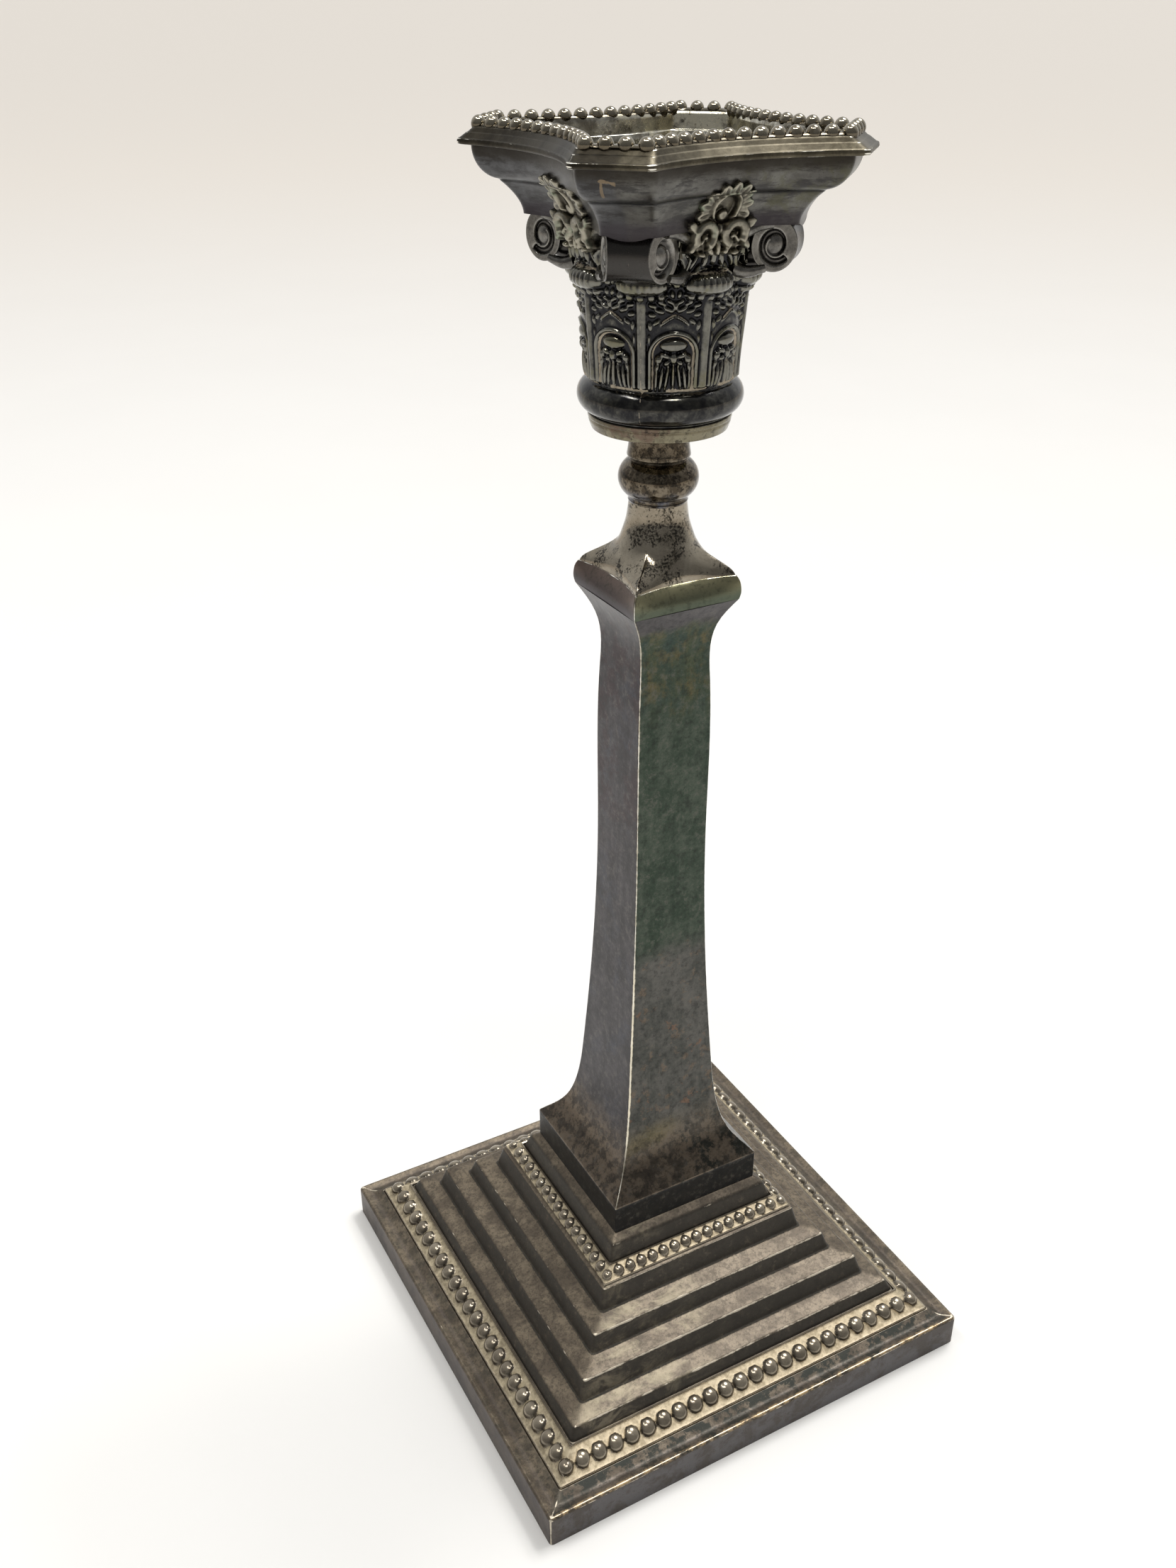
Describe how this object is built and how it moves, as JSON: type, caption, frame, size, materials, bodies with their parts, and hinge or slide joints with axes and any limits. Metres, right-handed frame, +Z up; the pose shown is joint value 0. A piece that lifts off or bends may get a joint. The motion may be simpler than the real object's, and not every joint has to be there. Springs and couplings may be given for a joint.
{
  "type": "column candlestick",
  "caption": "Tall loaded candlestick with a stepped square base, tapered square column, leaf capital with corner volutes and a square lift-off nozzle that holds one candle.",
  "frame": {"origin": "middle of the underside of the base, on the surface it stands on", "axes": "+Z up along the column, X and Y square to the sides of the base"},
  "size_m": [0.1142, 0.1142, 0.281],
  "materials": {
    "base_silver": "tarnished silver plate, brown patina",
    "bead_silver": "tarnished silver plate with pale polish residue",
    "column_silver": "heavily tarnished silver plate, grey to dark green",
    "cap_silver": "speckled tarnished silver plate",
    "capital_silver": "dark gunmetal tarnish with residue in the relief",
    "nozzle_silver": "rubbed silver plate",
    "iron": "plain iron, lightly rusted",
    "pitch": "poured pitch and plaster filling",
    "board": "plain softwood",
    "baize": "green wool baize"
  },
  "bodies": {
    "stick": {"base_shell": "base_silver", "lower_bead_band": "bead_silver", "upper_bead_band": "bead_silver", "column_left_half": "column_silver", "column_right_half": "column_silver", "column_cap": "cap_silver", "knop": "cap_silver", "capital_foot": "capital_silver", "capital_left_half": "capital_silver", "capital_right_half": "capital_silver", "abacus": "capital_silver", "volute_back": "capital_silver", "volute_left": "capital_silver", "volute_front": "capital_silver", "volute_right": "capital_silver", "fleuron_front_right": "capital_silver", "fleuron_back_right": "capital_silver", "fleuron_back_left": "capital_silver", "fleuron_front_left": "capital_silver", "socket_cup": "capital_silver", "tie_rod": "iron", "top_washer": "iron", "top_nut": "iron", "bottom_washer": "iron", "bottom_nut": "iron", "pitch_loading": "pitch", "base_board": "board", "baize_pad": "baize"},
    "nozzle": {"nozzle_plate": "nozzle_silver", "nozzle_bead_border": "nozzle_silver", "nozzle_socket": "nozzle_silver"}
  },
  "joints": [
    {"name": "nozzle_lift", "type": "slide", "parent": "stick", "child": "nozzle", "axis": [0, 0, 1], "range_m": [0, 0.035]}
  ]
}
